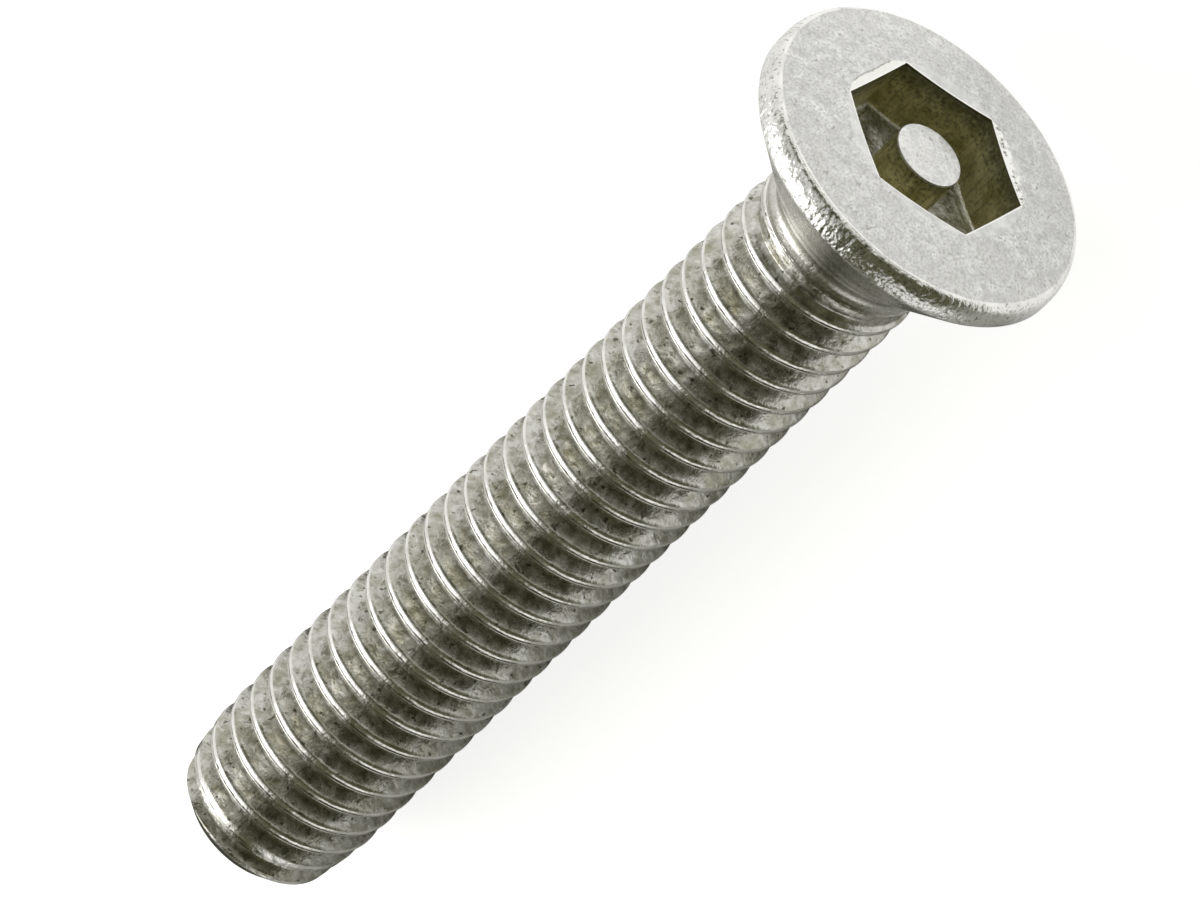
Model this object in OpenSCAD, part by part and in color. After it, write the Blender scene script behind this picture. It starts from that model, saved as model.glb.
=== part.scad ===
// Countersunk machine screw with a hexagon socket and a central security pin, in one piece.
// It lies on its side, on the rim of its head and on the crest of its last full thread, head towards +X.
// The screw is drawn upright first: its axis is Z, the crown of its head is at z = 0, its tip is below.

/* [Screw] */
// Length over all, from the crown of the head to the tip
length = 35; // [24:1:50]
// Diameter over the thread crests
thread_d = 5.8; // [5.7:0.05:6.1]
// Pitch of the thread
pitch = 1.0; // [0.75:0.05:1.2]
// Included angle of the thread flanks
thread_angle = 60; // [55:1:65]
// Width of the flat along each thread crest
crest_flat = 0.24; // [0.14:0.02:0.3]
// Width of the flat along each thread root
root_flat = 0.16; // [0.1:0.02:0.24]

/* [Head] */
// Diameter of the head at its widest
head_d = 10.9; // [10.6:0.1:12.4]
// Diameter of the face, inside the rounded rim
face_d = 10.4; // [9:0.1:10.4]
// How far the face is crowned, from its edge to its middle
crown = 0.55; // [0.1:0.05:0.8]
// Height of the rim, from the edge of the face down to the cone
rim_h = 0.9; // [0.5:0.05:1.2]
// Included angle of the countersink cone
cone_angle = 90; // [82:1:100]
// Diameter of the smooth neck under the cone
neck_d = 5.5; // [5.1:0.05:5.6]
// Length of the smooth neck
neck_h = 0.6; // [0.4:0.05:1.2]
// Radius of the fillet between the cone and the neck
neck_fillet = 0.4; // [0.2:0.1:0.7]
// Length over which the crests rise from the neck
crest_rise = 0.5; // [0.3:0.1:2]
// Length over which the groove sinks in below the neck
runout = 1.4; // [0.6:0.1:3]

/* [Socket and pin] */
// Hexagon across flats
hex_af = 5.35; // [4:0.05:5.6]
// Turn of the hexagon about the screw's axis
hex_turn = -10; // [-30:1:30]
// Depth of the socket's floor at its bevel, below the crown
floor_depth = 2.35; // [1.8:0.05:2.6]
// Angle that the floor falls at from its bevel to the pin
floor_dish = 10; // [1:1:15]
// Gap between the bevel of the floor and the hexagon's flats
floor_gap = 0.25; // [0.1:0.05:0.6]
// Angle that the bevel between the floor and the walls rises at
floor_bevel = 18; // [16:1:40]
// How far the round bevel at the mouth reaches beyond the hexagon's corners
mouth_margin = 0.03; // [0.02:0.01:0.3]
// Angle that the mouth bevel falls at
mouth_bevel = 8; // [5:1:40]
// Diameter of the security pin
pin_d = 2.25; // [1.6:0.05:2.6]
// Depth of the pin's top below the crown
pin_recess = 0.5; // [0.3:0.05:1]
// Chamfer round the top of the pin
pin_edge = 0.08; // [0.04:0.01:0.2]

/* [Point] */
// Diameter of the flat end face
point_d = 4.3; // [3.6:0.1:4.6]
// Height of the chamfer at the end
point_h = 0.5; // [0.3:0.05:1]
// Diameter over the crests where they meet the chamfer
lead_d = 5.3; // [5:0.05:5.6]
// Length over which the crests taper towards the chamfer
lead_h = 1.9; // [0.5:0.1:4]

/* [Hidden] */
$fn = 96;
EPS = 0.05;
// How far a cutter reaches past what it cuts
CLEAR = 1;
// Share of the rim's height that its rounded edge takes
RIM_ROUND = 0.6;
// Facets round one turn of the thread
TURN_FACETS = 24;
// Turn of the thread about the screw's axis, a whole number of its facets
THREAD_TURN = 90;
// Rows of corners down one pitch of the thread: two at the crest and two at the root
ROWS = 4;
// Steps across the crowned face, round the rim and round the fillet of the neck
FACE_STEPS = 8;
RIM_STEPS = 4;
FILLET_STEPS = 3;
STEEL = [0.70, 0.69, 0.66];

thread_r = thread_d / 2;
flank_h = (pitch - crest_flat - root_flat) / 2;
root_r = thread_r - flank_h / tan(thread_angle / 2);
neck_r = neck_d / 2;
head_r = head_d / 2;
face_r = face_d / 2;
hex_r = hex_af / sqrt(3);
mouth_r = hex_r + mouth_margin;
floor_r = hex_af / 2 - floor_gap;
pin_r = pin_d / 2;
pin_floor = floor_depth + (floor_r - pin_r) * tan(floor_dish);
point_r = point_d / 2;
lead_r = lead_d / 2;

// Depths down the axis, all below the crown
rim_bottom = crown + rim_h;
rim_round = rim_h * RIM_ROUND;
cone_end = rim_bottom + (head_r - neck_r) / tan(cone_angle / 2);
neck_end = cone_end + neck_h;
lead_top = length - point_h - lead_h;

// The crowned face is part of a sphere through its middle and its edge
crown_r = (face_r * face_r + crown * crown) / (2 * crown);
function crown_drop(r) = crown_r - sqrt(crown_r * crown_r - r * r);

// The radius over the crests at depth d: it tapers towards the point
function crest_r(d) = d < lead_top ? thread_r : thread_r - (thread_r - lead_r) * (d - lead_top) / lead_h;

// Lying down, the axis falls from the rim of the head until the first crest meets the table
first_crest = neck_end + pitch * THREAD_TURN / 360;
crests = [for (d = [first_crest : pitch : length - point_h]) for (e = [d, d + crest_flat])
    (head_r - crest_r(e)) / (e - rim_bottom)];
lie_angle = atan(min(crests));
lie_height = rim_bottom * sin(lie_angle) + head_r * cos(lie_angle);

// Half section of the head and the neck
module head_section() {
    fillet_drop = neck_fillet * tan(cone_angle / 4);
    polygon(concat(
        [[0, -neck_end], [0, 0]],
        [for (i = [1 : FACE_STEPS]) let (r = face_r * i / FACE_STEPS) [r, -crown_drop(r)]],
        [for (i = [1 : RIM_STEPS]) let (t = 90 * i / RIM_STEPS)
            [face_r + (head_r - face_r) * sin(t), -crown - rim_round * (1 - cos(t))]],
        [[head_r, -rim_bottom]],
        [for (i = [0 : FILLET_STEPS]) let (t = cone_angle / 2 * (1 - i / FILLET_STEPS))
            [neck_r + neck_fillet * (1 - cos(t)), -cone_end - fillet_drop + neck_fillet * sin(t)]],
        [[neck_r, -neck_end]]
    ));
}

// How far the crests have risen or the groove has sunk at depth d, from 0 at the neck to 1
function fullness(d, span) = min(1, max(0, (d - neck_end) / span));

// Corner of the thread: row m of the profile at step n round the helix, held between its two ends
function thread_corner(m, n) =
    let (
        down = [0, crest_flat, crest_flat + flank_h, pitch - flank_h][m],
        d = min(length + pitch, max(neck_end, neck_end + pitch * (n / TURN_FACETS - 1) + down)),
        full = m < 2 && d < length + pitch ? crest_r(d) : root_r,
        r = neck_r - EPS + (full - neck_r + EPS) * fullness(d, m < 2 ? crest_rise : runout),
        a = THREAD_TURN - 360 * (n % TURN_FACETS) / TURN_FACETS
    )
    [r * cos(a), r * sin(a), -d];

// Right-hand helical ridge from the neck to beyond the end, with a stub above it that enters the neck
module helix() {
    turns = ceil((length - neck_end) / pitch) + 3;
    steps = turns * TURN_FACETS;
    span = steps + 1;
    corners = [for (m = [0 : ROWS - 1]) for (n = [0 : steps]) thread_corner(m, n)];
    stub = [for (n = [0 : TURN_FACETS - 1]) [corners[n][0], corners[n][1], -cone_end]];
    middle = len(corners);
    top = middle + 2;
    points = concat(corners, [[0, 0, -cone_end], [0, 0, -length - pitch]], stub);
    rows = [for (m = [0 : ROWS - 2]) for (n = [0 : steps - 1]) let (i = m * span + n)
        for (t = [[i, i + span, i + 1], [i + 1, i + span, i + span + 1]]) t];
    joins = [for (n = [0 : steps - TURN_FACETS - 1])
        let (i = (ROWS - 1) * span + n, j = n + TURN_FACETS)
        for (t = [[i, j, i + 1], [i + 1, j, j + 1]]) t];
    ends = [for (n = [0 : TURN_FACETS - 1])
        let (k = (n + 1) % TURN_FACETS, i = steps - TURN_FACETS + n)
        for (t = [[middle, top + n, top + k], [top + n, n, top + k], [top + k, n, k],
            [middle + 1, i + 1, i]]) t];
    // Where the ridge is held back at an end, its facets shrink to nothing and are left out
    faces = [for (f = concat(rows, joins, ends)) let (a = points[f[0]], b = points[f[1]], c = points[f[2]])
        if (a != b && b != c && c != a) f];
    polyhedron(points = points, faces = faces);
}

// The thread, cut off square at its end and chamfered there
module thread() {
    difference() {
        helix();
        rotate_extrude() polygon([
            [0, -length], [point_r, -length],
            [point_r + thread_r, -length + thread_r * point_h / (lead_r - point_r)],
            [point_r + thread_r, -length - 2 * pitch], [0, -length - 2 * pitch]
        ]);
    }
}

// Everything that the punch leaves empty: the hexagon, its bevelled floor and mouth, round the pin
module socket() {
    difference() {
        union() {
            intersection() {
                rotate([0, 0, hex_turn]) translate([0, 0, -pin_floor - CLEAR])
                    cylinder(r = hex_r, h = pin_floor + 2 * CLEAR, $fn = 6);
                rotate_extrude() polygon([
                    [0, -pin_floor], [pin_r, -pin_floor], [floor_r, -floor_depth],
                    [floor_r + hex_r, -floor_depth + hex_r * tan(floor_bevel)],
                    [floor_r + hex_r, 2 * CLEAR], [0, 2 * CLEAR]
                ]);
            }
            rotate_extrude() polygon([
                [0, -crown_drop(mouth_r) - mouth_r * tan(mouth_bevel)],
                [mouth_r + CLEAR, -crown_drop(mouth_r) + CLEAR * tan(mouth_bevel)],
                [0, 2 * CLEAR]
            ]);
        }
        security_pin();
    }
}

module security_pin() {
    rotate_extrude() polygon([
        [0, -pin_floor - CLEAR], [pin_r, -pin_floor - CLEAR],
        [pin_r, -pin_recess - pin_edge], [pin_r - pin_edge, -pin_recess], [0, -pin_recess]
    ]);
}

module screw() {
    color(STEEL)
    translate([length / 2, 0, lie_height])
    rotate([0, 90 - lie_angle, 0])
    union() {
        difference() {
            rotate_extrude() head_section();
            socket();
        }
        thread();
    }
}

screw();
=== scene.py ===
import math

import bpy
import numpy as np
from mathutils import Matrix, Vector


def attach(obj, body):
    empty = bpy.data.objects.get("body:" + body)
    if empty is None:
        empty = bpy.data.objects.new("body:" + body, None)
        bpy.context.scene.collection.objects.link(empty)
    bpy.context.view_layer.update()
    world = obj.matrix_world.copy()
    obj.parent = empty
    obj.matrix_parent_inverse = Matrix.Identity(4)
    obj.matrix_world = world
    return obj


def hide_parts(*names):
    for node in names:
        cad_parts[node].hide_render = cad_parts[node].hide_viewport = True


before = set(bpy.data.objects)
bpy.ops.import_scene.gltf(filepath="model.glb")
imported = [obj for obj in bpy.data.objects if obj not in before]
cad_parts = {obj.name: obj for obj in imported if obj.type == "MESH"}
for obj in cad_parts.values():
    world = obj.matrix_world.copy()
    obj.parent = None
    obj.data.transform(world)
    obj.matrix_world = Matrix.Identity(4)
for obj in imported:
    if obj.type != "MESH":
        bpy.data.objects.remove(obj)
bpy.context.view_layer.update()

# ---------------------------------------------------------------- sizes, in millimetres
# The screw is made upright, with its axis on Z, its crown at z = 0 and its tip below.
LENGTH = 35.0
HEAD_R = 5.45
FACE_R = 5.2
CROWN = 0.55
RIM_H = 0.9
RIM_ROUND = 0.54
# The worn edge between rim and cone: how far in and how far up its points lie
RIM_EDGE = ((0.0, 0.05), (0.04, -0.02))
CONE_EDGE = 0.04
CONE_STATIONS = (0.08, 0.7, 1.4, 2.0)
CONE_ANGLE = 45
NECK_R = 2.75
NECK_H = 0.6
# The rolled neck is drawn in to a waist under the cone, and swells where the thread starts
WAIST_R = 2.72
WAIST_FILLET = 0.62
WAIST_END = (0.008, 0.06)
SHOULDER_R = 2.81
SHOULDER_POINTS = ((-0.02, 0.1), (0.0, 0.04), (-0.3, 0.0))
NECK_FOOT = 0.02

HEX_R = 5.35 / math.sqrt(3)
HEX_TURN = -10.0
FLAT_TURN = HEX_TURN + 30
FLOOR_DEPTH = 2.35
FLOOR_R = 2.425
FLOOR_BEVEL = 18.0
FLOOR_DISH = 10.0
MOUTH_R = HEX_R + 0.03
MOUTH_BEVEL = 8.0
PIN_R = 1.125
PIN_RECESS = 0.5
PIN_EDGE = 0.08
# How far the top of the pin swells, halfway out and in the middle
PIN_DOME = (0.02, 0.03)

PITCH = 1.0
THREAD_R = 2.9
ROOT_R = 2.38
CREST_FLAT = 0.24
CREST_RISE = 0.5
RUNOUT = 1.4
THREAD_TURN = 90.0
POINT_R = 2.15
POINT_H = 0.5
LEAD_R = 2.65
LEAD_H = 1.9

RIM_BOTTOM = CROWN + RIM_H
CONE_END = RIM_BOTTOM + HEAD_R - NECK_R
NECK_END = CONE_END + NECK_H
LEAD_TOP = LENGTH - POINT_H - LEAD_H
CROWN_R = (FACE_R * FACE_R + CROWN * CROWN) / (2 * CROWN)
PIN_FLOOR = FLOOR_DEPTH + (FLOOR_R - PIN_R) * math.tan(math.radians(FLOOR_DISH))
# A pitch below the tip, where the middle of a crest meets the side that the screw lies on
WINDING_Z = -(LENGTH + PITCH) - CREST_FLAT / 2

# Cutting shapes reach this far past what they cut
TOOL_TOP = 2
TOOL_FOOT = 1
TOOL_SIDE = 0.5
HEX_TOOL_H = 5.0

AROUND = 96
HEAD_AROUND = 128
FACE_STEPS = 10
ARC_STEPS = 8
MERGE = 1e-4
SMOOTH_ANGLE = 32
MILLIMETRE = 0.001


def crown_drop(r):
    return CROWN_R - math.sqrt(CROWN_R * CROWN_R - r * r)


def crest_r(d):
    if d < LEAD_TOP:
        return THREAD_R
    return THREAD_R - (THREAD_R - LEAD_R) * (d - LEAD_TOP) / LEAD_H


# ---------------------------------------------------------------- how the screw lies
def lying_slopes():
    """The slope from the rim of the head to each edge of each crest on the lower side."""
    d = NECK_END + PITCH * THREAD_TURN / 360
    while d <= LENGTH - POINT_H:
        for edge in (d, d + CREST_FLAT):
            yield (HEAD_R - crest_r(edge)) / (edge - RIM_BOTTOM)
        d += PITCH


LIE = math.atan(min(lying_slopes()))
LIE_HEIGHT = RIM_BOTTOM * math.sin(LIE) + HEAD_R * math.cos(LIE)
AXIS = Vector((math.cos(LIE), 0, math.sin(LIE)))
UP = Vector((-math.sin(LIE), 0, math.cos(LIE)))
CROWN_POINT = Vector((LENGTH / 2, 0, LIE_HEIGHT))
LYING = (
    Matrix.Scale(MILLIMETRE, 4)
    @ Matrix.Translation(CROWN_POINT)
    @ Matrix.Rotation(math.radians(90) - LIE, 4, "Y")
)


# ---------------------------------------------------------------- modelling by hand
def select_only(obj):
    bpy.ops.object.select_all(action="DESELECT")
    obj.select_set(True)
    bpy.context.view_layer.objects.active = obj


def start_edit(obj):
    select_only(obj)
    bpy.ops.object.mode_set(mode="EDIT")
    bpy.ops.mesh.select_mode(type="VERT")
    bpy.ops.mesh.select_all(action="SELECT")


def end_edit():
    bpy.ops.object.mode_set(mode="OBJECT")


def merge_points(obj):
    """Closes the seams that spinning, winding and cutting leave open."""
    start_edit(obj)
    bpy.ops.mesh.remove_doubles(threshold=MERGE)
    end_edit()


def face_outwards(obj):
    start_edit(obj)
    bpy.ops.mesh.normals_make_consistent(inside=False)
    end_edit()


def apply_modifier(obj, mod):
    select_only(obj)
    bpy.ops.object.modifier_apply(modifier=mod.name)


def drawn_line(name, points):
    """A chain of points in the XZ plane, drawn by extruding one point after another."""
    bpy.ops.object.select_all(action="DESELECT")
    bpy.ops.mesh.primitive_circle_add(vertices=3, radius=0.1)
    obj = bpy.context.active_object
    obj.name = name
    start_edit(obj)
    bpy.ops.mesh.merge(type="CENTER")
    bpy.ops.transform.translate(value=(points[0][0], 0, points[0][1]))
    for (r0, z0), (r1, z1) in zip(points, points[1:]):
        bpy.ops.mesh.extrude_region_move(
            TRANSFORM_OT_translate={"value": (r1 - r0, 0, z1 - z0)})
    end_edit()
    return obj


def turned(name, points, steps=AROUND):
    """A solid turned about Z from its half section."""
    obj = drawn_line(name, points)
    start_edit(obj)
    bpy.ops.mesh.spin(steps=steps, angle=math.tau, center=(0, 0, 0), axis=(0, 0, 1))
    end_edit()
    merge_points(obj)
    face_outwards(obj)
    return obj


def combine(obj, tool, operation):
    """Cuts or adds the tool, which is used up."""
    mod = obj.modifiers.new(operation.lower(), "BOOLEAN")
    mod.operation = operation
    mod.solver = "EXACT"
    mod.object = tool
    apply_modifier(obj, mod)
    bpy.data.objects.remove(tool)


# ---------------------------------------------------------------- the head
def head_line():
    """Half the section of head and neck, from the crown down to the shoulder."""
    line = [(0, 0)]
    for i in range(1, FACE_STEPS + 1):
        r = FACE_R * i / FACE_STEPS
        line.append((r, -crown_drop(r)))
    for i in range(1, ARC_STEPS + 1):
        t = math.radians(90 * i / ARC_STEPS)
        line.append((FACE_R + (HEAD_R - FACE_R) * math.sin(t),
                     -CROWN - RIM_ROUND * (1 - math.cos(t))))
    line += [(HEAD_R - inward, -RIM_BOTTOM + up) for inward, up in RIM_EDGE]
    line += [(HEAD_R - CONE_EDGE - s, -RIM_BOTTOM - CONE_EDGE - s) for s in CONE_STATIONS]

    fillet_end = (CONE_END + NECK_R - WAIST_R
                  + WAIST_FILLET * math.tan(math.radians(CONE_ANGLE / 2)))
    for i in range(0, ARC_STEPS + 1):
        t = math.radians(CONE_ANGLE * (1 - i / ARC_STEPS))
        line.append((WAIST_R + WAIST_FILLET * (1 - math.cos(t)),
                     -fillet_end + WAIST_FILLET * math.sin(t)))
    line.append((WAIST_R + WAIST_END[0], -fillet_end - WAIST_END[1]))
    line += [(SHOULDER_R + out, -NECK_END + up) for out, up in SHOULDER_POINTS]
    return line + [(0, -NECK_END - NECK_FOOT)]


def punch():
    """What the punch leaves empty: the hexagon on its bevelled floor, round the pin."""
    reach = HEX_R + TOOL_SIDE
    rise = reach * math.tan(math.radians(FLOOR_BEVEL))
    room = turned("punch_room", [
        (0, -PIN_FLOOR), (PIN_R, -PIN_FLOOR), (FLOOR_R, -FLOOR_DEPTH),
        (FLOOR_R + reach, -FLOOR_DEPTH + rise), (FLOOR_R + reach, TOOL_TOP), (0, TOOL_TOP)])
    bpy.ops.object.select_all(action="DESELECT")
    bpy.ops.mesh.primitive_cylinder_add(
        vertices=6, radius=HEX_R, depth=HEX_TOOL_H, location=(0, 0, 1 - HEX_TOOL_H / 2),
        rotation=(0, 0, math.radians(FLAT_TURN)))
    hexagon = bpy.context.active_object
    bpy.ops.object.transform_apply(location=True, rotation=True, scale=True)
    combine(room, hexagon, "INTERSECT")
    combine(room, mouth(), "UNION")
    combine(room, pin(), "DIFFERENCE")
    return room


def mouth():
    """A flat cone that takes the corner off the socket's edge."""
    drop = crown_drop(MOUTH_R)
    slope = math.tan(math.radians(MOUTH_BEVEL))
    return turned("mouth", [
        (0, -drop - MOUTH_R * slope), (MOUTH_R + 1, -drop + slope), (0, TOOL_TOP)])


def pin():
    """The security pin, with a worn edge and a slightly domed top."""
    worn = PIN_EDGE * 0.3
    return turned("pin", [
        (0, -PIN_FLOOR - TOOL_FOOT), (PIN_R, -PIN_FLOOR - TOOL_FOOT),
        (PIN_R, -PIN_RECESS - PIN_EDGE), (PIN_R - worn, -PIN_RECESS - worn),
        (PIN_R - PIN_EDGE, -PIN_RECESS), (PIN_R * 0.5, -PIN_RECESS + PIN_DOME[0]),
        (0, -PIN_RECESS + PIN_DOME[1])])


def make_head():
    head = turned("head", head_line(), steps=HEAD_AROUND)
    combine(head, punch(), "DIFFERENCE")
    merge_points(head)
    return head


# ---------------------------------------------------------------- the thread
def thread_line():
    """One pitch from root to root, tip side first: a crest of two lobes with a rolling seam."""
    return [
        (ROOT_R, -0.5), (ROOT_R + 0.006, -0.46), (ROOT_R + 0.03, -0.425),
        (ROOT_R + 0.085, -0.385), (ROOT_R + 0.33, -0.243), (2.77, -0.212), (2.812, -0.186),
        (2.846, -0.158), (2.867, -0.125), (2.874, -0.09), (2.87, -0.068), (2.856, -0.05),
        (2.855, -0.035), (2.868, -0.018), (2.893, -0.005), (THREAD_R, 0.02),
        (THREAD_R, 0.085), (2.894, 0.115), (2.876, 0.142), (2.842, 0.168), (2.795, 0.195),
        (ROOT_R + 0.345, 0.226), (ROOT_R + 0.085, 0.378), (ROOT_R + 0.03, 0.42),
        (ROOT_R + 0.006, 0.46), (ROOT_R, 0.5)]


def make_thread():
    """The ridge wound over the length, cut off at both ends, then tapered there."""
    thread = drawn_line("thread", [(r, z * PITCH) for r, z in thread_line()])
    mod = thread.modifiers.new("winding", "SCREW")
    mod.axis = "Z"
    mod.angle = math.tau
    mod.screw_offset = PITCH
    mod.iterations = math.ceil((LENGTH - NECK_END) / PITCH) + 3
    mod.steps = mod.render_steps = AROUND
    apply_modifier(thread, mod)
    merge_points(thread)
    start_edit(thread)
    bpy.ops.transform.translate(value=(0, 0, WINDING_Z))
    for z, outside in ((-LENGTH, -1), (-CONE_END, 1)):
        bpy.ops.mesh.select_all(action="SELECT")
        bpy.ops.mesh.bisect(plane_co=(0, 0, z), plane_no=(0, 0, outside),
                            use_fill=True, clear_outer=True)
    end_edit()
    shape_ends(thread)
    face_outwards(thread)
    return thread


def smooth(x):
    x = np.clip(x, 0, 1)
    return x * x * (3 - 2 * x)


def shape_ends(thread):
    """The groove grows out of the neck, and the crests taper to the chamfer at the end."""
    mesh = thread.data
    co = np.zeros(len(mesh.vertices) * 3)
    mesh.vertices.foreach_get("co", co)
    co = co.reshape(-1, 3)
    r = np.hypot(co[:, 0], co[:, 1])
    d = -co[:, 2]

    # The ridge starts hidden in the neck, and comes out just under the shoulder
    hidden_r, first_r, overlap = WAIST_R - 0.1, SHOULDER_R - 0.012, 0.1
    start = np.where(d < NECK_END - overlap, hidden_r, first_r)
    growth = np.where(r > SHOULDER_R, CREST_RISE, RUNOUT)
    new = start + (r - start) * smooth((d - NECK_END + overlap / 2) / growth)

    taper = np.maximum(0, d - LEAD_TOP) * (THREAD_R - LEAD_R) / LEAD_H
    new = np.where(d > LEAD_TOP, np.minimum(new, THREAD_R - taper), new)
    chamfer = POINT_R + np.maximum(0, LENGTH - d) * (LEAD_R - POINT_R) / POINT_H
    new = np.minimum(new, chamfer)

    # Points on the axis, in the middle of a cut end, stay where they are
    middle_r = 0.5
    scale = np.where(r > middle_r, new / np.maximum(r, middle_r), 1)
    co[:, :2] *= scale[:, None]
    mesh.vertices.foreach_set("co", co.ravel())
    mesh.update()


# ---------------------------------------------------------------- words for nodes
class Nodes:
    """Short words for the nodes of one material or of the room."""

    def __init__(self, owner):
        owner.use_nodes = True
        self.tree = owner.node_tree
        self.tree.nodes.clear()

    def add(self, kind):
        return self.tree.nodes.new("ShaderNode" + kind)

    def link(self, a, b):
        self.tree.links.new(a, b)

    def feed(self, socket, value):
        """Links what comes from a node, and sets a number or a colour."""
        if isinstance(value, (int, float)):
            socket.default_value = value
        elif isinstance(value, tuple):
            socket.default_value = (*value, 1)
        else:
            self.link(value, socket)

    def maths(self, operation, *values):
        node = self.add("Math")
        node.operation = operation
        for socket, value in zip(node.inputs, values):
            self.feed(socket, value)
        return node.outputs[0]

    def times(self, a, b):
        return self.maths("MULTIPLY", a, b)

    def dot(self, place, direction):
        node = self.add("VectorMath")
        node.operation = "DOT_PRODUCT"
        self.link(place, node.inputs[0])
        node.inputs[1].default_value = direction
        return node.outputs["Value"]

    def span(self, value, low, high, out_low, out_high):
        """Goes from out_low to out_high as the value goes from low to high."""
        node = self.add("MapRange")
        self.link(value, node.inputs["Value"])
        for key, number in (("From Min", low), ("From Max", high),
                            ("To Min", out_low), ("To Max", out_high)):
            node.inputs[key].default_value = number
        return node.outputs["Result"]

    def rising(self, value, low, high, top=1):
        return self.span(value, low, high, 0, top)

    def falling(self, value, low, high, top=1):
        return self.span(value, low, high, top, 0)

    def between(self, value, low, high, soft):
        """1 between low and high, 0 outside, with soft edges."""
        return self.maths("MINIMUM", self.rising(value, low - soft, low + soft),
                          self.falling(value, high - soft, high + soft))

    def blend(self, factor, a, b):
        node = self.add("Mix")
        node.data_type = "RGBA"
        self.link(factor, node.inputs["Factor"])
        self.feed(node.inputs[6], a)
        self.feed(node.inputs[7], b)
        return node.outputs[2]


class Paint(Nodes):
    """A material of the screw, with its patterns placed on the upright screw in millimetres."""

    def __init__(self, name):
        self.material = bpy.data.materials.new(name)
        super().__init__(self.material)
        place = self.add("TexCoord")
        back = self.add("Mapping")
        back.vector_type = "TEXTURE"
        back.inputs["Location"].default_value = CROWN_POINT * MILLIMETRE
        back.inputs["Rotation"].default_value = (0, math.radians(90) - LIE, 0)
        back.inputs["Scale"].default_value = (MILLIMETRE,) * 3
        self.link(place.outputs["Object"], back.inputs["Vector"])
        self.upright = back.outputs["Vector"]

    def noise(self, scale, detail=3.0, rough=0.55, stretch=(1, 1, 1), place=None):
        if place is None:
            stretched = self.add("VectorMath")
            stretched.operation = "MULTIPLY"
            self.link(self.upright, stretched.inputs[0])
            stretched.inputs[1].default_value = stretch
            place = stretched.outputs[0]
        node = self.add("TexNoise")
        node.inputs["Scale"].default_value = scale
        node.inputs["Detail"].default_value = detail
        node.inputs["Roughness"].default_value = rough
        self.link(place, node.inputs["Vector"])
        return node.outputs["Fac"]

    def apart(self):
        node = self.add("SeparateXYZ")
        self.link(self.upright, node.inputs[0])
        return node.outputs

    def joined(self, x, y):
        node = self.add("CombineXYZ")
        self.link(x, node.inputs[0])
        self.link(y, node.inputs[1])
        return node.outputs[0]

    def wound(self):
        """How far a point lies from the middle of its crest, towards the head, and how far
        along the ridge."""
        x, y, z = self.apart()
        turn = self.maths("DIVIDE", self.maths("ARCTAN2", y, x), math.tau)
        rise = self.maths("ADD", self.maths("SUBTRACT", z, turn), 0.5 - WINDING_Z)
        across = self.maths("SUBTRACT", self.maths("FRACT", rise), 0.5)
        lap = self.maths("FLOOR", rise)
        along = self.times(self.maths("ADD", turn, lap), math.tau * THREAD_R)
        return across, along

    def from_hexagon(self):
        """How far a point lies outside the hexagon; negative inside it."""
        sides = []
        for k in range(3):
            turn = math.radians(FLAT_TURN + 60 * k)
            side = self.dot(self.upright, (math.cos(turn), math.sin(turn), 0))
            sides.append(self.maths("ABSOLUTE", side))
        widest = self.maths("MAXIMUM", self.maths("MAXIMUM", sides[0], sides[1]), sides[2])
        return self.maths("SUBTRACT", widest, HEX_R * math.cos(math.radians(30)))

    def facing(self, degrees, low, high):
        """1 on the side of the axis that lies at this angle, fading to 0 away from it."""
        x, y, _ = self.apart()
        turn = math.radians(degrees)
        side = self.dot(self.upright, (math.cos(turn), math.sin(turn), 0))
        r = self.maths("SQRT", self.maths("ADD", self.times(x, x), self.times(y, y)))
        return self.rising(self.maths("DIVIDE", side, r), low, high)

    def bump(self, height, depth_mm, under=None):
        node = self.add("Bump")
        node.inputs["Strength"].default_value = 1.0
        node.inputs["Distance"].default_value = depth_mm * MILLIMETRE
        self.link(height, node.inputs["Height"])
        if under is not None:
            self.link(under, node.inputs["Normal"])
        return node.outputs["Normal"]

    def metal(self, colour, roughness, normal, bare=1.0):
        """A steel surface; bare is the share of it that is not covered by scale."""
        shader = self.add("BsdfPrincipled")
        shader.inputs["Metallic"].default_value = bare
        self.link(colour, shader.inputs["Base Color"])
        self.link(roughness, shader.inputs["Roughness"])
        self.link(normal, shader.inputs["Normal"])
        out = self.add("OutputMaterial")
        self.link(shader.outputs["BSDF"], out.inputs["Surface"])
        return self.material


# ---------------------------------------------------------------- colours of the steel
FACE_GREY, FACE_PALE = (0.59, 0.588, 0.585), (0.89, 0.888, 0.885)
FACE_CLOUD = (0.68, 0.675, 0.665)
FACE_GRAIN = (0.46, 0.455, 0.44)
FACE_PIT = (0.34, 0.33, 0.29)
# The pin is the face steel lightened by this much: painted light on the pin top in its recess
PIN_PAINTED_LIGHT = 0.11
RIM_GREY, RIM_PALE = (0.72, 0.714, 0.695), (0.84, 0.836, 0.822)
RIM_SPECK = (0.15, 0.14, 0.10)
# Worn edge of the rim, painted pale as a highlight line
RIM_WORN_HIGHLIGHT = (0.90, 0.895, 0.87)
MOUTH_GREY, MOUTH_PALE = (0.60, 0.598, 0.59), (0.80, 0.798, 0.79)
# Painted highlights on two sides of the bevel and along its edge, and a painted shade line round
# one of them
MOUTH_LENS_HIGHLIGHT = (0.88, 0.875, 0.85)
MOUTH_SHADE = (0.36, 0.35, 0.31)
MOUTH_HIGHLIGHT = (0.98, 0.975, 0.955)
MOUTH_CHIP = (0.12, 0.11, 0.07)
NECK_GREY, NECK_PALE = (0.48, 0.47, 0.43), (0.64, 0.63, 0.60)
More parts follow.
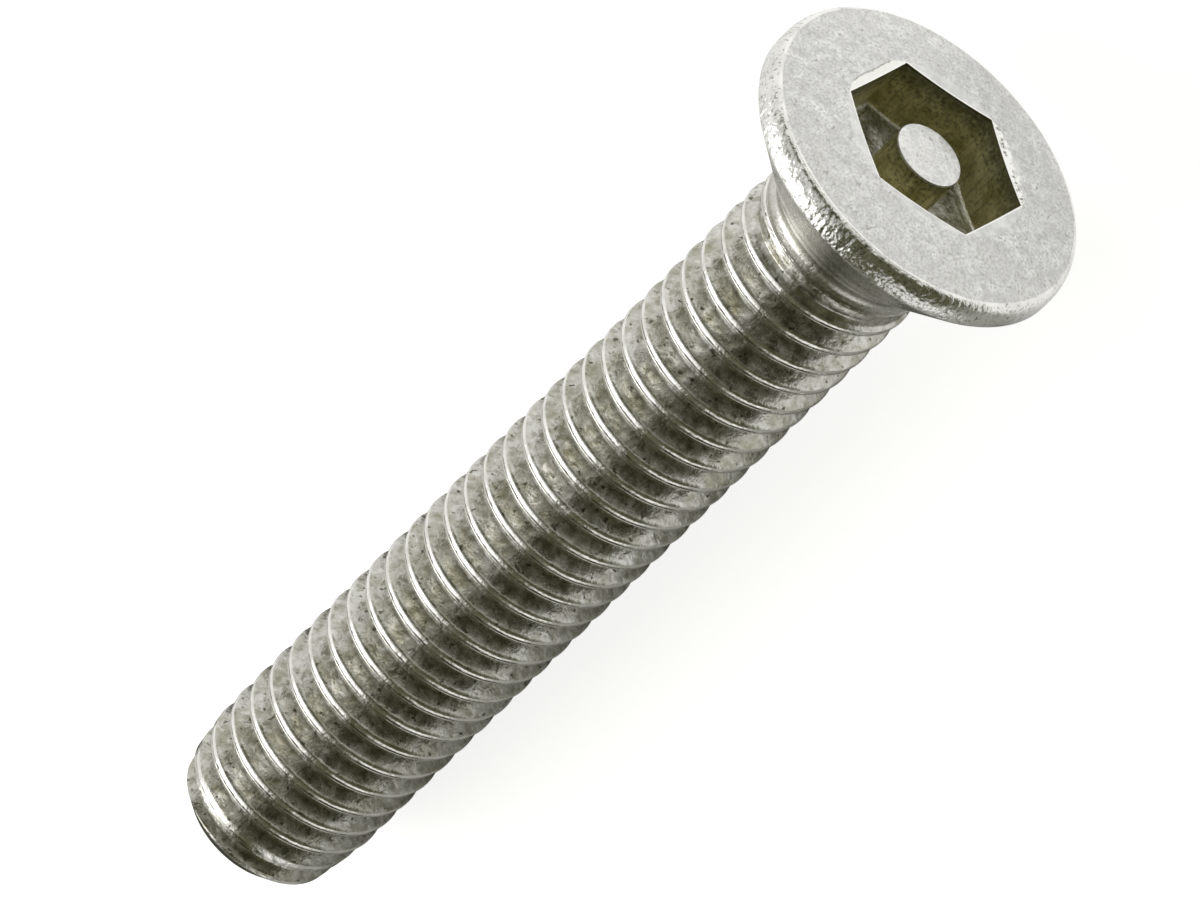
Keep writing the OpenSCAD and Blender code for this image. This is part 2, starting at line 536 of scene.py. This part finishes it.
# Painted shade in the ring grooves and painted highlight on the rings
NECK_GROOVE_SHADE = (0.24, 0.23, 0.18)
NECK_RING_HIGHLIGHT = (0.86, 0.855, 0.83)
NECK_GRAIN = (0.30, 0.29, 0.24)
SOCKET_OLIVE, SOCKET_STRAW = (0.56, 0.52, 0.24), (1.0, 0.95, 0.60)
SOCKET_STREAK = (0.36, 0.35, 0.20)
SOCKET_GRAIN = (0.20, 0.19, 0.11)
# Painted highlight band under the mouth on one wall
SOCKET_LIP_HIGHLIGHT = (1.0, 1.0, 0.95)
SOCKET_SHADE = (0.08, 0.075, 0.05)
# Painted shade on the walls towards the mouth
SOCKET_UPPER_SHADE = (0.13, 0.125, 0.06)
FLOOR_DARK, FLOOR_GREY = (0.20, 0.19, 0.13), (0.66, 0.65, 0.60)
FLOOR_GRAIN = (0.26, 0.25, 0.18)
# Painted highlight where the floor meets the walls
FLOOR_FOOT_HIGHLIGHT = (0.97, 0.96, 0.93)
FLANK_DARK, FLANK_PALE = (0.42, 0.406, 0.345), (0.68, 0.674, 0.652)
FLANK_TONE = (0.34, 0.33, 0.25)
FLANK_FLECK, FLANK_GLINT = (0.24, 0.23, 0.17), (0.86, 0.855, 0.83)
FLANK_PIT = (0.09, 0.085, 0.06)
# Painted shade on the flank just tip-side of each crest
FLANK_TIP_SHADE = (0.14, 0.13, 0.09)
# Crests painted lighter than the flanks: a painted highlight
CREST_HIGHLIGHT_GREY, CREST_HIGHLIGHT_PALE = (0.70, 0.69, 0.65), (0.88, 0.872, 0.845)
# Painted shade on the crest's tip-side lobe
CREST_LOBE_SHADE = (0.44, 0.43, 0.39)
# Painted shade in broken dashes along the crest's seam
CREST_SEAM_SHADE = (0.06, 0.055, 0.035)

# Bands on the mouth of the socket, by the distance outside the hexagon
# Painted highlight on one side of the bevel, and the painted shade line round it
NEAR_LENS_HIGHLIGHT_BAND = (-0.2, 0.25)
NEAR_LENS_SHADE_LINE = (0.25, 0.29)
# Painted highlight on the other side of the bevel
FAR_LENS_HIGHLIGHT_BAND = (-0.2, 0.26)
# A painted highlight line along the hexagon's edge
EDGE_HIGHLIGHT_LINE = (0.035, 0.065)
# Bands on the socket's wall and floor
# On one wall: a painted highlight band, and below it a painted shade band
LIP_HIGHLIGHT_BAND = (-0.40, -0.33)
LIP_SHADE = (-0.32, -0.1)
# Painted shade on the walls, deepening towards the mouth
UPPER_SHADE_BAND = (-1.25, -0.45)
FOOT_LINE = (-0.26, -0.17)
# Painted highlight along the floor's edge at the walls
FOOT_HIGHLIGHT_EDGE = (-0.11, -0.07)
# Bands along the thread, by the distance from the middle of the crest
CREST_BAND = (-0.17, 0.125)
LOBE_SHADE_BAND = (-0.15, -0.055)
SEAM_SHADE_BAND = (-0.062, -0.02)
TIP_SIDE_SHADE_BAND = (-0.25, -0.15)


# ---------------------------------------------------------------- finishes
def face_steel(name="face_steel", lift=0.0):
    """A punched face: pale, with soft blotches, fine grain and a few dark pits."""
    # lift lightens every colour but the pits: painted light, used for the pin
    def lifted(colour):
        return tuple(part + lift for part in colour)

    p = Paint(name)
    cloud = p.noise(0.7, 3)
    blotch = p.noise(2.4, 4, 0.62)
    grain = p.noise(11, 3, 0.6)
    pits = p.noise(5.5, 2, 0.5)
    colour = p.blend(p.rising(blotch, 0.36, 0.64), lifted(FACE_GREY), lifted(FACE_PALE))
    colour = p.blend(p.rising(cloud, 0.38, 0.62, 0.6), colour, lifted(FACE_CLOUD))
    colour = p.blend(p.falling(grain, 0.36, 0.58, 0.7), colour, lifted(FACE_GRAIN))
    colour = p.blend(p.falling(pits, 0.28, 0.34, 0.6), colour, FACE_PIT)
    rough = p.span(blotch, 0.3, 0.7, 0.33, 0.46)
    return p.metal(colour, rough, p.bump(grain, 0.014, p.bump(blotch, 0.03)))


def rim_steel():
    """The rim: dented and dragged by the die, with a worn edge next to the face that is painted
    pale as a highlight.
    """
    p = Paint("rim_steel")
    dents = p.noise(4.6, 1.5, 0.5, (1, 1, 0.9))
    speck = p.noise(8, 3, 0.6)
    cloud = p.noise(1.2, 2)
    z = p.apart()[2]
    colour = p.blend(p.rising(cloud, 0.3, 0.7), RIM_GREY, RIM_PALE)
    colour = p.blend(p.falling(speck, 0.32, 0.47, 0.75), colour, RIM_SPECK)
    # The worn band next to the face is also a painted highlight line
    worn = p.times(p.rising(z, -CROWN - 0.05, -CROWN - 0.02), p.span(cloud, 0.4, 0.6, 0.2, 1))
    colour = p.blend(worn, colour, RIM_WORN_HIGHLIGHT)
    rough = p.span(speck, 0.3, 0.7, 0.08, 0.2)
    below_edge = p.falling(z, -CROWN - 0.12, -CROWN - 0.03)
    calmer = p.span(p.facing(-90, 0.3, 0.8), 0, 1, 1, 0.3)
    dents = p.times(dents, p.times(below_edge, calmer))
    return p.metal(colour, rough, p.bump(dents, 0.065, p.bump(speck, 0.018)))


def mouth_steel():
    """The mouth of the socket: a painted highlight line along its edge, painted highlights on
    two sides of its bevel with a painted shade line round one, and chips where the punch
    dragged.
    """
    p = Paint("mouth_steel")
    speck = p.noise(4.5, 4, 0.65)
    blotch = p.noise(2.4, 4, 0.62)
    gap = p.from_hexagon()
    colour = p.blend(p.rising(blotch, 0.36, 0.64), MOUTH_GREY, MOUTH_PALE)
    # On one side of the bevel, a painted highlight with a painted shade line at its edge
    near_lens = p.facing(FLAT_TURN + 60, 0.8, 0.88)
    near = p.maths("ADD", gap, p.span(speck, 0.3, 0.7, 0.04, -0.04))
    for band, tone in ((NEAR_LENS_HIGHLIGHT_BAND, MOUTH_LENS_HIGHLIGHT), (NEAR_LENS_SHADE_LINE, MOUTH_SHADE)):
        colour = p.blend(p.times(near_lens, p.between(near, *band, 0.02)), colour, tone)
    # On the other side, a painted highlight with dark chips in it
    ragged = p.maths("ADD", gap, p.span(speck, 0.3, 0.7, 0.14, -0.14))
    dragged = p.times(p.facing(FLAT_TURN - 60, 0.82, 0.9),
                      p.between(ragged, *FAR_LENS_HIGHLIGHT_BAND, 0.02))
    colour = p.blend(dragged, colour, MOUTH_HIGHLIGHT)
    colour = p.blend(p.times(dragged, p.falling(speck, 0.4, 0.47, 0.9)), colour, MOUTH_CHIP)
    # A painted highlight line along the hexagon's edge
    colour = p.blend(p.falling(gap, *EDGE_HIGHLIGHT_LINE, 0.9), colour, MOUTH_HIGHLIGHT)
    rough = p.span(speck, 0.3, 0.7, 0.24, 0.36)
    return p.metal(colour, rough, p.bump(speck, 0.03))


def neck_steel():
    """Neck and cone: turned rings, painted as shade in the grooves and highlight on the ridges,
    strong on the neck and faint up the cone.
    """
    p = Paint("neck_steel")
    grain = p.noise(7, 4, 0.6)
    cloud = p.noise(1.1, 2)
    x, _, z = p.apart()
    rings = p.noise(1.0, 2, 0.5, place=p.joined(p.times(z, 3.0), p.times(x, 0.05)))
    necked = p.span(z, -CONE_END + 0.6, -CONE_END + 1.8, 1, 0.3)
    colour = p.blend(p.rising(cloud, 0.3, 0.7), NECK_GREY, NECK_PALE)
    # Rings: painted shade in the grooves and painted highlight on the ridges, over the ring
    # bumps
    colour = p.blend(p.times(necked, p.falling(rings, 0.4, 0.5, 0.7)), colour, NECK_GROOVE_SHADE)
    colour = p.blend(p.times(necked, p.rising(rings, 0.54, 0.62, 0.7)), colour, NECK_RING_HIGHLIGHT)
    colour = p.blend(p.falling(grain, 0.36, 0.48, 0.4), colour, NECK_GRAIN)
    rough = p.span(grain, 0.3, 0.7, 0.18, 0.34)
    return p.metal(colour, rough, p.bump(p.times(rings, necked), 0.06, p.bump(grain, 0.02)))


def socket_steel():
    """Punched walls: dark, streaked down the wall and blotched, with painted shade towards the
    mouth, and on one wall a painted highlight band over a painted shade band.
    """
    p = Paint("socket_steel")
    streaks = p.noise(1.0, 4, 0.65, (6, 6, 0.7))
    cloud = p.noise(1.5, 4, 0.65)
    grain = p.noise(8, 3, 0.6)
    z = p.apart()[2]
    colour = p.blend(p.rising(cloud, 0.38, 0.6), SOCKET_OLIVE, SOCKET_STRAW)
    colour = p.blend(p.falling(streaks, 0.36, 0.52, 0.25), colour, SOCKET_STREAK)
    colour = p.blend(p.falling(grain, 0.3, 0.48, 0.55), colour, SOCKET_GRAIN)
    # On the wall facing FLAT_TURN: a painted highlight band, and a painted shade band below it
    lipped = p.facing(FLAT_TURN, 0.84, 0.88)
    lip_highlight = p.times(p.between(z, *LIP_HIGHLIGHT_BAND, 0.015), lipped)
    colour = p.blend(p.times(lip_highlight, p.span(grain, 0.38, 0.5, 0.5, 0.95)), colour, SOCKET_LIP_HIGHLIGHT)
    shade = p.times(p.between(z, *LIP_SHADE, 0.015), lipped)
    colour = p.blend(p.times(shade, 0.8), colour, SOCKET_SHADE)
    # Painted shade darkens the walls towards the mouth
    ragged = p.maths("ADD", z, p.span(grain, 0.3, 0.7, 0.3, -0.3))
    colour = p.blend(p.rising(ragged, *UPPER_SHADE_BAND, 0.85), colour, SOCKET_UPPER_SHADE)
    rough = p.span(streaks, 0.3, 0.7, 0.22, 0.42)
    return p.metal(colour, rough, p.bump(streaks, 0.012, p.bump(grain, 0.03)), bare=0.3)


def floor_steel():
    """The punched floor, bright with a painted highlight where it meets the walls."""
    p = Paint("floor_steel")
    grain = p.noise(5, 4, 0.65)
    cloud = p.noise(1.8, 3)
    colour = p.blend(p.rising(cloud, 0.36, 0.64), FLOOR_DARK, FLOOR_GREY)
    colour = p.blend(p.falling(grain, 0.34, 0.48, 0.5), colour, FLOOR_GRAIN)
    foot = p.from_hexagon()
    colour = p.blend(p.between(foot, *FOOT_LINE, 0.02), colour, FLOOR_GRAIN)
    # A painted highlight along the floor's edge at the walls
    colour = p.blend(p.rising(foot, *FOOT_HIGHLIGHT_EDGE, 0.95), colour, FLOOR_FOOT_HIGHLIGHT)
    rough = p.span(grain, 0.3, 0.7, 0.2, 0.36)
    return p.metal(colour, rough, p.bump(grain, 0.03))


def thread_steel():
    """Rolled steel: pitted flanks, and crests of two lobes painted lighter as a highlight, with
    painted shade on the tip-side lobe, in broken dashes along the seam, and on the flank just
    tip-side of each crest.
    """
    p = Paint("thread_steel")
    across, along = p.wound()
    tone = p.noise(0.4, 2, 0.5)
    cloud = p.noise(1.5, 3, 0.6)
    fleck = p.noise(3.2, 3, 0.6)
    pits = p.noise(4.5, 2, 0.5)
    breaks = p.noise(1.0, 3, 0.6, place=p.joined(p.times(along, 2.2), p.times(across, 5.0)))
    flank = p.blend(p.rising(cloud, 0.36, 0.62), FLANK_DARK, FLANK_PALE)
    flank = p.blend(p.falling(tone, 0.38, 0.62, 0.3), flank, FLANK_TONE)
    flank = p.blend(p.falling(fleck, 0.37, 0.48, 0.6), flank, FLANK_FLECK)
    flank = p.blend(p.rising(fleck, 0.56, 0.68, 0.55), flank, FLANK_GLINT)
    flank = p.blend(p.falling(pits, 0.29, 0.35, 0.9), flank, FLANK_PIT)
    # The crests are painted lighter than the flanks: a painted highlight along each crest
    lobes = p.blend(p.rising(breaks, 0.36, 0.6), CREST_HIGHLIGHT_GREY, CREST_HIGHLIGHT_PALE)
    crest = p.between(across, *CREST_BAND, 0.02)
    colour = p.blend(crest, flank, lobes)
    # Painted shade dims the crest's tip-side lobe
    colour = p.blend(p.times(p.between(across, *LOBE_SHADE_BAND, 0.01), 0.8), colour, CREST_LOBE_SHADE)
    # Painted shade in broken dashes along the seam between the lobes
    seam = p.times(p.between(across, *SEAM_SHADE_BAND, 0.012), p.rising(breaks, 0.49, 0.56, 0.97))
    colour = p.blend(seam, colour, CREST_SEAM_SHADE)
    # Painted shade on the flank just tip-side of each crest
    tip_side_shade = p.times(p.between(across, *TIP_SIDE_SHADE_BAND, 0.02), p.span(fleck, 0.4, 0.56, 0.75, 0.15))
    colour = p.blend(tip_side_shade, colour, FLANK_TIP_SHADE)
    rough = p.maths("SUBTRACT", p.span(fleck, 0.3, 0.7, 0.19, 0.33), p.times(crest, 0.08))
    return p.metal(colour, rough, p.bump(fleck, 0.022, p.bump(cloud, 0.04)))


# ---------------------------------------------------------------- the whole screw
FACE, PIN, MOUTH, RIM, NECK, SOCKET, FLOOR, THREAD = range(8)
# The floor's faces lie below this height
FLOOR_ZONE = -1.8


def head_finish(face):
    """The finish of one face of the head, by its place and by which way it looks."""
    x, y, z = face.center
    r = math.hypot(x, y)
    looks_in = face.normal.x * x + face.normal.y * y < 0
    if r < PIN_R and z > -PIN_RECESS - PIN_EDGE * 1.1:
        return PIN
    if r < HEX_R and -PIN_FLOOR - 0.1 < z < FLOOR_ZONE and face.normal.z > 0.5:
        return FLOOR
    if r < HEX_R and -PIN_FLOOR - 0.05 < z < -PIN_RECESS - 0.1:
        return SOCKET
    if HEX_R * 0.8 < r < MOUTH_R and looks_in:
        return MOUTH
    if r < FACE_R and z > -CROWN - 0.02:
        return FACE
    if r > FACE_R - 0.05 and z > -RIM_BOTTOM - 0.06:
        return RIM
    return NECK


def give_finishes(head, thread):
    # pin_steel is the face steel lightened as painted light
    finishes = (face_steel(), face_steel("pin_steel", PIN_PAINTED_LIGHT), mouth_steel(), rim_steel(),
                neck_steel(), socket_steel(), floor_steel(), thread_steel())
    for obj in (head, thread):
        obj.data.materials.clear()
        for finish in finishes:
            obj.data.materials.append(finish)
    for face in thread.data.polygons:
        face.material_index = THREAD
    for face in head.data.polygons:
        face.material_index = head_finish(face)


def make_screw():
    head = make_head()
    thread = make_thread()
    give_finishes(head, thread)
    select_only(head)
    thread.select_set(True)
    bpy.ops.object.join()
    head.name = "screw_steel"
    head.data.transform(LYING)
    select_only(head)
    bpy.ops.object.shade_smooth_by_angle(angle=math.radians(SMOOTH_ANGLE))
    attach(head, "root")
    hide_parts("screw")
    return head


# ---------------------------------------------------------------- values of the studio
VIEW_TILT = 53.8
ROLL_COS, ROLL_SIN = 0.71447, 0.69966
FRAME_DEPTH = 20.4095
# The camera stands so far off that a millimetre is 34 dots wide in a frame of 1201 dots
DOTS_PER_MM = 34.0
FRAME_DOTS = 1201
FOCAL_DOTS = 21800
SENSOR_WIDTH = 36.0
FRAME_SHIFT = (68.1 / DOTS_PER_MM, 93.2 / DOTS_PER_MM)
CAMERA_AWAY = FOCAL_DOTS / DOTS_PER_MM
LENS = FOCAL_DOTS * SENSOR_WIDTH / FRAME_DOTS

LAMP_PLACE = (-0.31, 0.33, 0.21)
LAMP_SIZE = (0.26, 0.26)
LAMP_POWER = 0.45

# The floor, in metres: its glow in the steel beside the screw and ahead of it, and the
# painted shadow beside the screw, a darker patch that only the steel mirrors
FLOOR_SIZE = 3.0
FLOOR_Z = -0.00002
FLOOR_GLOW = 0.8
FLOOR_TONE = (0.8, 0.8, 0.8)
GLOW_SPAN = (-0.008, 0.003)
STEEL_GLOW = (0.0, 0.57)
AHEAD_SPAN = (0.009, 0.016)
AHEAD_GLOW = 0.68
UNDER_SHADOW_TONE = (0.14, 0.14, 0.12)
SHADOW_RIGHT = (-0.0075, -0.0035)
SHADOW_LEFT = (0.0043, 0.0047)
SHADOW_AHEAD = (0.009, 0.011)

# The room: what the steel mirrors
NO_LIGHT = (0.0, 0.0, 0.0)
WHITE = (1.0, 1.0, 1.0)
DIM_COLOUR = (0.10, 0.10, 0.06)
LEFT_COLOUR = (0.68, 0.68, 0.65)
LEFT_BACK_COLOUR = (1.85, 1.84, 1.8)
RIGHT_COLOUR = (1.0, 1.0, 0.98)
LOW_COLOUR = (0.17, 0.17, 0.165)
FRONT_COLOUR = (0.5, 0.5, 0.49)
LEFTWARD, RIGHTWARD, DOWNWARD = (0, 1, 0), (0, -1, 0), (0, 0, -1)
TIPWARD, HEADWARD = -AXIS, AXIS
FRONTWARD = (0.98, 0.04, 0.15)


# ---------------------------------------------------------------- the studio
def make_floor():
    """White to the camera, with the screw's shadow; the steel mirrors it only in part, and sees
    a painted shadow beside the screw.
    """
    bpy.ops.object.select_all(action="DESELECT")
    bpy.ops.mesh.primitive_grid_add(
        x_subdivisions=8, y_subdivisions=8, size=FLOOR_SIZE, location=(0, 0, FLOOR_Z))
    floor = bpy.context.active_object
    floor.name = "floor"
    bpy.ops.object.transform_apply(location=True)
    material = bpy.data.materials.new("pale_floor")
    n = Nodes(material)
    path = n.add("LightPath")
    place = n.add("TexCoord")
    apart = n.add("SeparateXYZ")
    n.link(place.outputs["Object"], apart.inputs[0])
    x, y = apart.outputs[0], apart.outputs[1]

    # A painted shadow beside the screw, darker for glossy rays only
    under = n.times(n.rising(y, *SHADOW_RIGHT), n.falling(y, *SHADOW_LEFT))
    under = n.times(under, n.falling(x, *SHADOW_AHEAD))
    aside = n.span(y, *GLOW_SPAN, *STEEL_GLOW)
    ahead = n.rising(x, *AHEAD_SPAN, AHEAD_GLOW)
    to_steel = n.times(path.outputs["Is Glossy Ray"], n.maths("MAXIMUM", aside, ahead))
    to_steel = n.times(to_steel, n.maths("SUBTRACT", 1.0, under))
    strength = n.maths("MULTIPLY_ADD", path.outputs["Is Camera Ray"], FLOOR_GLOW, to_steel)
    tone = n.blend(n.times(path.outputs["Is Glossy Ray"], under), FLOOR_TONE, UNDER_SHADOW_TONE)

    paper = n.add("BsdfDiffuse")
    n.link(tone, paper.inputs["Color"])
    glow = n.add("Emission")
    n.link(strength, glow.inputs["Strength"])
    both = n.add("AddShader")
    n.link(paper.outputs[0], both.inputs[0])
    n.link(glow.outputs[0], both.inputs[1])
    out = n.add("OutputMaterial")
    n.link(both.outputs[0], out.inputs["Surface"])
    floor.data.materials.append(material)


def make_world():
    """A pale room: white to the camera, and for the steel a bright side and a dim patch."""
    world = bpy.data.worlds.new("pale_room")
    bpy.context.scene.world = world
    n = Nodes(world)
    place = n.add("TexCoord")

    def towards(direction, low, high):
        """0 to 1 as the cosine of the angle to this direction goes from low to high."""
        fade = n.add("MapRange")
        fade.interpolation_type = "SMOOTHSTEP"
        fade.inputs["From Min"].default_value = low
        fade.inputs["From Max"].default_value = high
        cosine = n.dot(place.outputs["Generated"], Vector(direction).normalized())
        n.link(cosine, fade.inputs["Value"])
        return fade.outputs["Result"]

    def plus(a, b):
        node = n.add("VectorMath")
        node.operation = "ADD"
        n.link(a, node.inputs[0])
        n.link(b, node.inputs[1])
        return node.outputs[0]

    left = n.times(towards(LEFTWARD, -0.03, 0.42), towards(TIPWARD, -0.75, -0.2))
    left_back = n.times(left, towards(TIPWARD, 0.2, 0.75))
    right = n.times(towards(RIGHTWARD, 0.28, 0.56),
                    n.times(towards(TIPWARD, 0.4, 0.62), towards(HEADWARD, -0.86, -0.72)))
    room = n.blend(left_back, n.blend(left, DIM_COLOUR, LEFT_COLOUR), LEFT_BACK_COLOUR)
    room = n.blend(right, room, RIGHT_COLOUR)
    room = plus(room, n.blend(towards(DOWNWARD, -0.42, 0.0), NO_LIGHT, LOW_COLOUR))
    room = plus(room, n.blend(towards(FRONTWARD, 0.86, 0.985), NO_LIGHT, FRONT_COLOUR))
    room = n.blend(n.add("LightPath").outputs["Is Camera Ray"], room, WHITE)
    light = n.add("Background")
    out = n.add("OutputWorld")
    n.link(room, light.inputs["Color"])
    n.link(light.outputs[0], out.inputs["Surface"])


def make_lamp():
    """A soft square lamp that looks at the middle of the screw."""
    data = bpy.data.lights.new("soft_key", "AREA")
    data.shape = "RECTANGLE"
    data.size, data.size_y = LAMP_SIZE
    data.energy = LAMP_POWER
    lamp = bpy.data.objects.new("soft_key", data)
    bpy.context.scene.collection.objects.link(lamp)
    lamp.location = LAMP_PLACE
    lamp.rotation_euler = (-Vector(LAMP_PLACE)).to_track_quat("-Z", "Y").to_euler()


def make_camera():
    """A long lens, from in front of the head and above; the screw rises to the right."""
    tilt = math.radians(VIEW_TILT)
    back = AXIS * math.cos(tilt) + UP * math.sin(tilt)
    along = (AXIS - back * math.cos(tilt)) / math.sin(tilt)
    across = Vector((0, -1, 0))
    centre = CROWN_POINT - AXIS * FRAME_DEPTH
    right = along * ROLL_COS + across * ROLL_SIN
    up = along * ROLL_SIN - across * ROLL_COS
    target = centre + right * FRAME_SHIFT[0] + up * FRAME_SHIFT[1]
    place = centre + back * CAMERA_AWAY
    toward = (place - target).normalized()
    up = (up - toward * up.dot(toward)).normalized()
    right = up.cross(toward)
    data = bpy.data.cameras.new("camera")
    data.lens = LENS
    data.sensor_width = SENSOR_WIDTH
    data.clip_start = 0.01
    data.clip_end = 20
    camera = bpy.data.objects.new("camera", data)
    bpy.context.scene.collection.objects.link(camera)
    camera.matrix_world = (Matrix.Translation(place * MILLIMETRE)
                           @ Matrix((right, up, toward)).transposed().to_4x4())
    bpy.context.scene.camera = camera


# ---------------------------------------------------------------- making it all
make_screw()
make_floor()
make_world()
make_lamp()
make_camera()
bpy.context.scene.view_settings.view_transform = "Standard"
